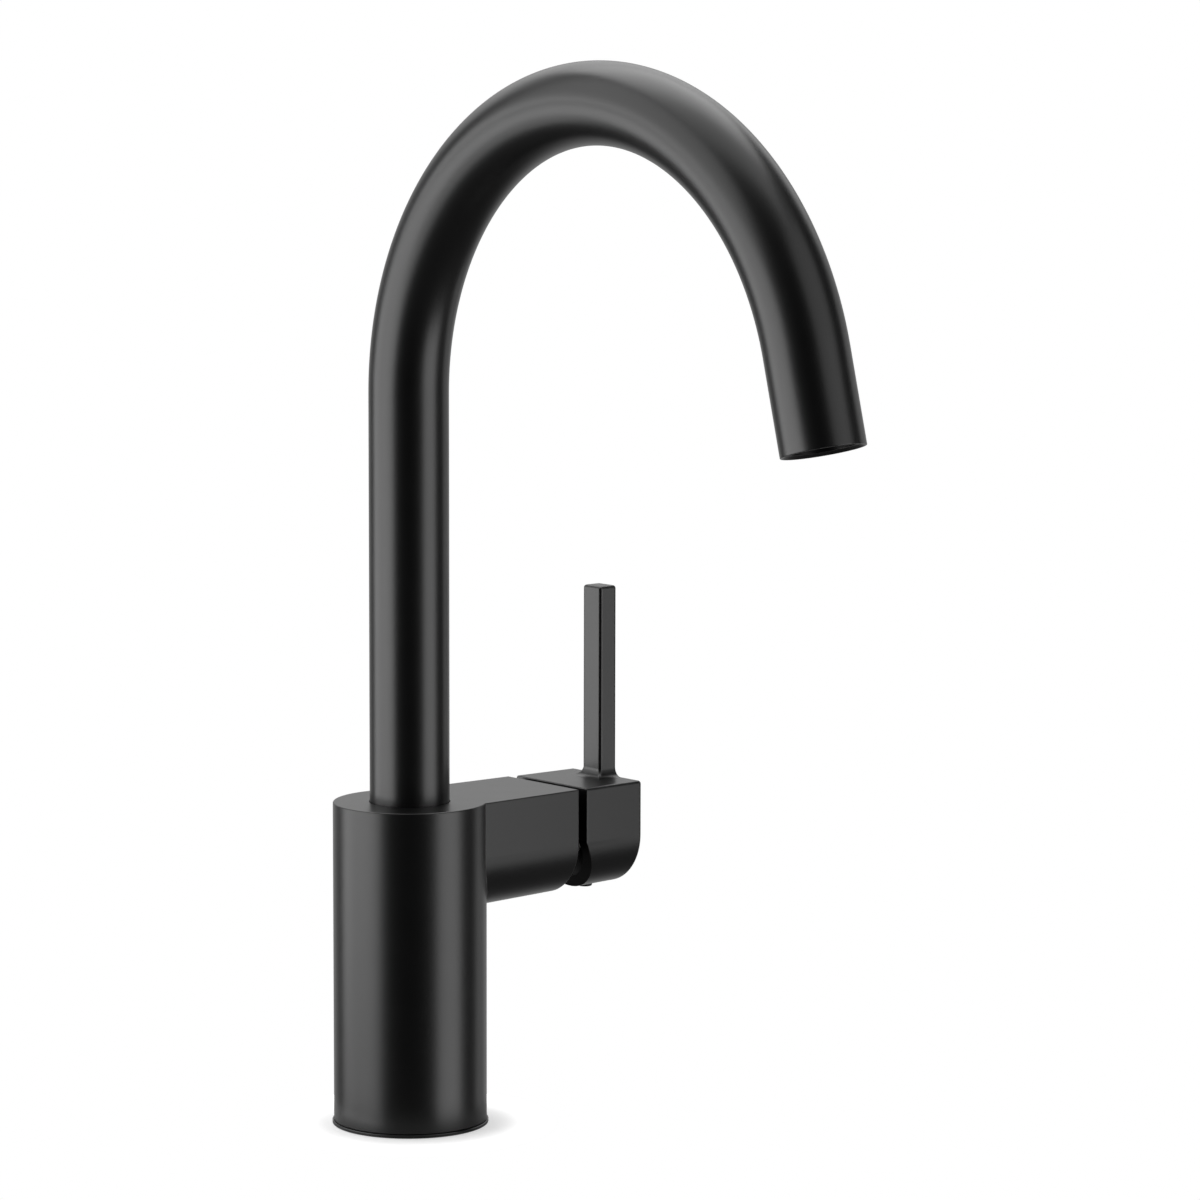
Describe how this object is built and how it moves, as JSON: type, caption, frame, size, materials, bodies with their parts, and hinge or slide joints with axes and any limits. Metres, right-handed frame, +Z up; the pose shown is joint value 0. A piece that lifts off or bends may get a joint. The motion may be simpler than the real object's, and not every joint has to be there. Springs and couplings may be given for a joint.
{
  "type": "kitchen faucet",
  "caption": "Deck-mounted kitchen faucet with a swivelling high-arc tube spout, a round body and a level side arm that ends in a single upright mixing lever.",
  "frame": {"origin": "middle of the base, on the deck's surface", "axes": "+Z up along the body and riser, +X along the arm towards the lever, the spout reaches over -Y"},
  "size_m": [0.1219, 0.256, 0.3824],
  "materials": {
    "black_coat": "satin",
    "brass": "machined",
    "black_plastic": "moulded",
    "white_plastic": "moulded",
    "rubber": "moulded",
    "ceramic": "lapped",
    "steel": "machined"
  },
  "bodies": {
    "body": {"base_ring": "black_coat", "base_gasket": "rubber", "body_shell": "black_coat", "valve_core": "brass", "core_retainer": "steel", "spout_bearing": "black_plastic", "glide_washer": "white_plastic", "cartridge_adapter": "brass", "adapter_seals": "rubber", "cartridge_base": "white_plastic", "cartridge_seals": "rubber", "cartridge_housing": "white_plastic", "fixed_disc": "ceramic", "cartridge_nut": "brass", "trim_dome": "black_coat"},
    "spout": {"spout_tube": "black_coat", "spout_spigot": "brass", "spigot_seals": "rubber", "snap_ring": "steel", "outlet_sleeve": "black_coat", "aerator_housing": "black_plastic", "aerator_screen": "steel", "flow_regulator": "white_plastic", "aerator_washer": "rubber"},
    "guide": {"stem_guide": "white_plastic", "stem_pin": "steel"},
    "handle": {"lever_handle": "black_coat", "stem": "steel", "stem_bush": "white_plastic", "handle_screw": "steel", "screw_plug": "black_plastic"},
    "disc": {"moving_disc": "ceramic", "disc_carrier": "black_plastic"}
  },
  "joints": [
    {"name": "spout_swivel", "type": "hinge", "parent": "body", "child": "spout", "pos_m": [0, 0, 0.10655], "axis": [0, 0, 1], "continuous": true},
    {"name": "handle_turn", "type": "hinge", "parent": "body", "child": "guide", "pos_m": [0.05722, 0, 0.097], "axis": [1, 0, 0], "range_deg": [-45, 45]},
    {"name": "handle_tilt", "type": "hinge", "parent": "guide", "child": "handle", "pos_m": [0.05722, 0, 0.097], "axis": [0, 1, 0], "range_deg": [0, 20]},
    {"name": "disc_slide", "type": "slide", "parent": "guide", "child": "disc", "axis": [0, 0, 1], "range_m": [0, 0.0048]}
  ],
  "couplings": [
    {"joint": "disc_slide", "follows": "handle_tilt", "m_per_rad": 0.013619}
  ]
}
